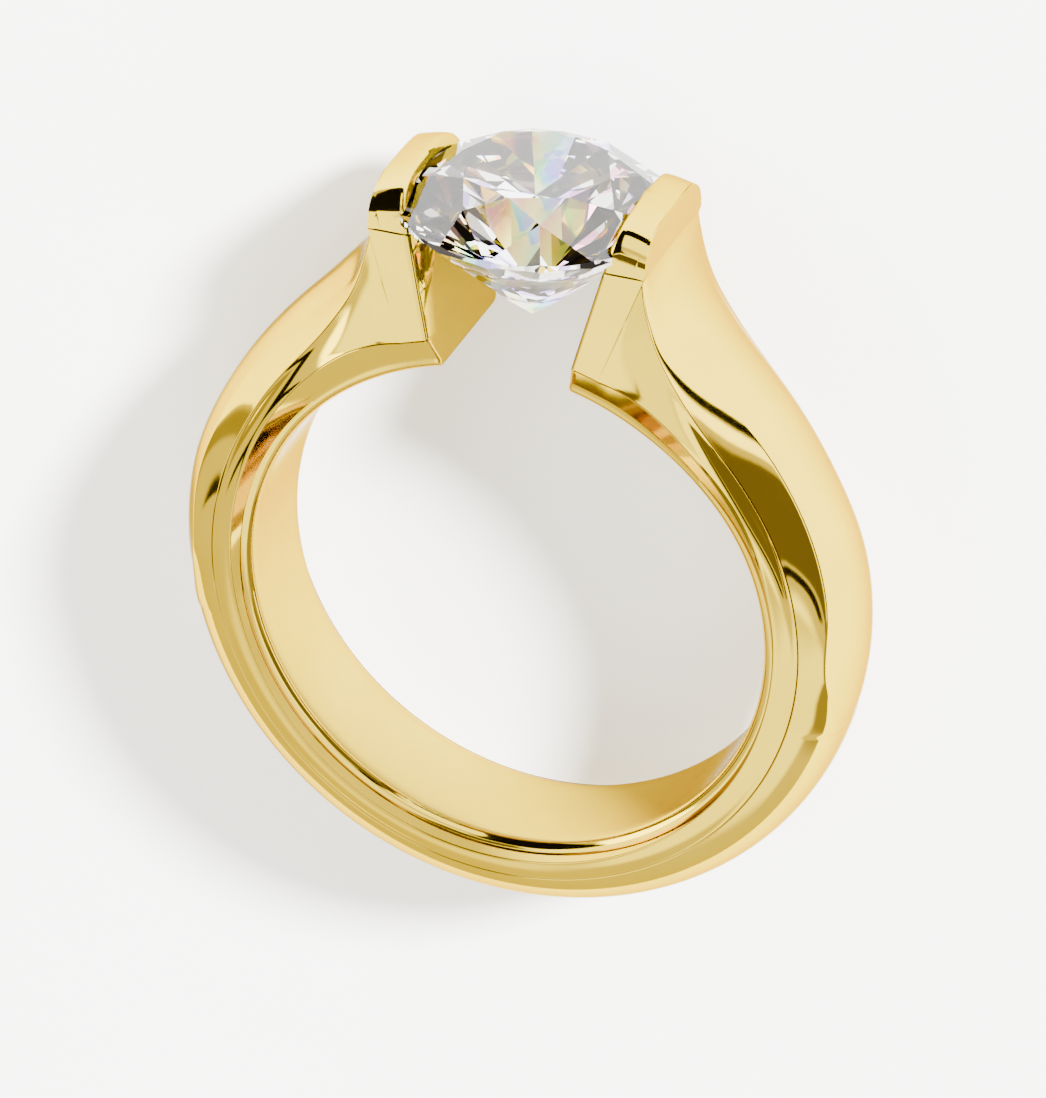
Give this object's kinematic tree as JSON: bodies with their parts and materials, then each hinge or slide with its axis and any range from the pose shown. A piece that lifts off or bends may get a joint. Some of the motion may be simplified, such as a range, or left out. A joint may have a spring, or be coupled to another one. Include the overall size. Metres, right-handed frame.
{
  "type": "tension set ring",
  "caption": "Open gold band whose two ends hold a round brilliant cut stone by its girdle.",
  "frame": {"origin": "centre of the finger hole, half way along it", "axes": "+Z along the finger hole, out of the face that lies upwards when the ring lies on its side; +Y towards the stone; +X to the right seen from +Z with the stone at the top"},
  "size_m": [0.0218, 0.025, 0.0082],
  "materials": {
    "gold": "mirror polished yellow gold",
    "stone": "colourless cut diamond, clear"
  },
  "bodies": {
    "root": {"ring_body": "gold", "diamond": "stone"}
  },
  "joints": []
}
